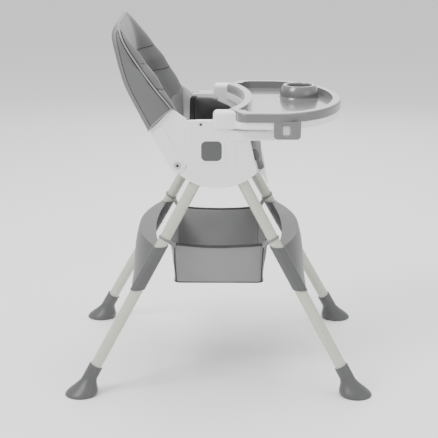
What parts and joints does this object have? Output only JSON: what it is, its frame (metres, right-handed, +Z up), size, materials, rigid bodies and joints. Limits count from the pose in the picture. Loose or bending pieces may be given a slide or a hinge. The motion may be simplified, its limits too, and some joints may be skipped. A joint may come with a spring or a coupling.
{
  "type": "baby high chair",
  "caption": "Baby high chair with splayed tube legs, reclining padded seat, sliding lift-off tray with cup ring, harness and a fabric storage basket.",
  "frame": {"origin": "on the floor, in the middle of the four feet", "axes": "+X the way the child faces, +Y the child's left, +Z up"},
  "size_m": [0.8048, 0.6804, 0.948],
  "materials": {
    "white_plastic": "semi-gloss moulded",
    "tray_plastic": "gloss moulded",
    "grey_plastic": "fine texture moulded",
    "latch_plastic": "moulded",
    "ivory_paint": "gloss powder coat",
    "steel": "zinc plated",
    "cover_leather": "soft artificial leather, padded",
    "cushion_fabric": "soft artificial leather, padded",
    "basket_fabric": "woven polyester",
    "webbing": "woven strap",
    "buckle_plastic": "moulded"
  },
  "bodies": {
    "chair": {"seat_shell": "white_plastic", "front_apron": "white_plastic", "side_panel_left": "white_plastic", "side_panel_right": "white_plastic", "front_brace": "grey_plastic", "rear_brace": "grey_plastic", "foot_front_left": "grey_plastic", "foot_front_right": "grey_plastic", "foot_rear_left": "grey_plastic", "foot_rear_right": "grey_plastic", "lower_leg_front_left": "ivory_paint", "lower_leg_front_right": "ivory_paint", "lower_leg_rear_left": "ivory_paint", "lower_leg_rear_right": "ivory_paint", "upper_leg_front_left": "ivory_paint", "upper_leg_front_right": "ivory_paint", "upper_leg_rear_left": "ivory_paint", "upper_leg_rear_right": "ivory_paint", "panel_screws": "steel", "pivot_bolts": "steel", "calf_flap": "cover_leather", "seat_cushion": "cushion_fabric", "storage_basket": "basket_fabric", "crotch_strap": "webbing", "waist_strap_left": "webbing", "waist_strap_right": "webbing", "basket_strap_front_left": "webbing", "basket_strap_front_right": "webbing", "basket_strap_rear_left": "webbing", "basket_strap_rear_right": "webbing", "buckle": "buckle_plastic"},
    "backrest": {"backrest_shell": "white_plastic", "backrest_cover": "cover_leather", "shoulder_strap_left": "webbing", "shoulder_strap_right": "webbing"},
    "tray_carriage": {"tray_base": "white_plastic"},
    "tray": {"tray_top": "tray_plastic"},
    "recline_button_left": {"recline_button_left": "grey_plastic"},
    "recline_button_right": {"recline_button_right": "grey_plastic"},
    "tray_latch_left": {"tray_latch_left": "latch_plastic"},
    "tray_latch_right": {"tray_latch_right": "latch_plastic"},
    "harness_release": {"buckle_button": "buckle_plastic"},
    "snap_upper_front_left": {"snap_upper_front_left": "steel"},
    "snap_lower_front_left": {"snap_lower_front_left": "steel"},
    "snap_upper_front_right": {"snap_upper_front_right": "steel"},
    "snap_lower_front_right": {"snap_lower_front_right": "steel"},
    "snap_upper_rear_left": {"snap_upper_rear_left": "steel"},
    "snap_lower_rear_left": {"snap_lower_rear_left": "steel"},
    "snap_upper_rear_right": {"snap_upper_rear_right": "steel"},
    "snap_lower_rear_right": {"snap_lower_rear_right": "steel"}
  },
  "joints": [
    {"name": "backrest_recline", "type": "hinge", "parent": "chair", "child": "backrest", "pos_m": [-0.107, 0, 0.597], "axis": [0, -1, 0], "range_deg": [0, 20]},
    {"name": "tray_slide", "type": "slide", "parent": "chair", "child": "tray_carriage", "axis": [1, 0, 0], "range_m": [0, 0.07]},
    {"name": "tray_lift", "type": "slide", "parent": "tray_carriage", "child": "tray", "axis": [0, 0, 1], "range_m": [0, 0.12]},
    {"name": "harness_release_press", "type": "slide", "parent": "chair", "child": "harness_release", "axis": [-1, 0, 0], "range_m": [0, 0.003], "stiffness_N_per_m": 1500, "springref_m": -0.001},
    {"name": "recline_button_press_left", "type": "slide", "parent": "chair", "child": "recline_button_left", "axis": [0, -1, 0], "range_m": [0, 0.005], "stiffness_N_per_m": 2000, "springref_m": -0.002},
    {"name": "tray_latch_press_left", "type": "slide", "parent": "tray_carriage", "child": "tray_latch_left", "axis": [0, -1, 0], "range_m": [0, 0.003], "stiffness_N_per_m": 1500, "springref_m": -0.001},
    {"name": "recline_button_press_right", "type": "slide", "parent": "chair", "child": "recline_button_right", "axis": [0, 1, 0], "range_m": [0, 0.005], "stiffness_N_per_m": 2000, "springref_m": -0.002},
    {"name": "tray_latch_press_right", "type": "slide", "parent": "tray_carriage", "child": "tray_latch_right", "axis": [0, 1, 0], "range_m": [0, 0.003], "stiffness_N_per_m": 1500, "springref_m": -0.001},
    {"name": "snap_upper_front_left_press", "type": "slide", "parent": "chair", "child": "snap_upper_front_left", "axis": [0.6538, 0.6005, 0.4603], "range_m": [0, 0.0045], "stiffness_N_per_m": 2000, "springref_m": -0.001},
    {"name": "snap_lower_front_left_press", "type": "slide", "parent": "chair", "child": "snap_lower_front_left", "axis": [0.6538, 0.6005, 0.4603], "range_m": [0, 0.0045], "stiffness_N_per_m": 2000, "springref_m": -0.001},
    {"name": "snap_upper_front_right_press", "type": "slide", "parent": "chair", "child": "snap_upper_front_right", "axis": [0.6538, -0.6005, 0.4603], "range_m": [0, 0.0045], "stiffness_N_per_m": 2000, "springref_m": -0.001},
    {"name": "snap_lower_front_right_press", "type": "slide", "parent": "chair", "child": "snap_lower_front_right", "axis": [0.6538, -0.6005, 0.4603], "range_m": [0, 0.0045], "stiffness_N_per_m": 2000, "springref_m": -0.001},
    {"name": "snap_upper_rear_left_press", "type": "slide", "parent": "chair", "child": "snap_upper_rear_left", "axis": [-0.6538, 0.6005, 0.4603], "range_m": [0, 0.0045], "stiffness_N_per_m": 2000, "springref_m": -0.001},
    {"name": "snap_lower_rear_left_press", "type": "slide", "parent": "chair", "child": "snap_lower_rear_left", "axis": [-0.6538, 0.6005, 0.4603], "range_m": [0, 0.0045], "stiffness_N_per_m": 2000, "springref_m": -0.001},
    {"name": "snap_upper_rear_right_press", "type": "slide", "parent": "chair", "child": "snap_upper_rear_right", "axis": [-0.6538, -0.6005, 0.4603], "range_m": [0, 0.0045], "stiffness_N_per_m": 2000, "springref_m": -0.001},
    {"name": "snap_lower_rear_right_press", "type": "slide", "parent": "chair", "child": "snap_lower_rear_right", "axis": [-0.6538, -0.6005, 0.4603], "range_m": [0, 0.0045], "stiffness_N_per_m": 2000, "springref_m": -0.001}
  ]
}
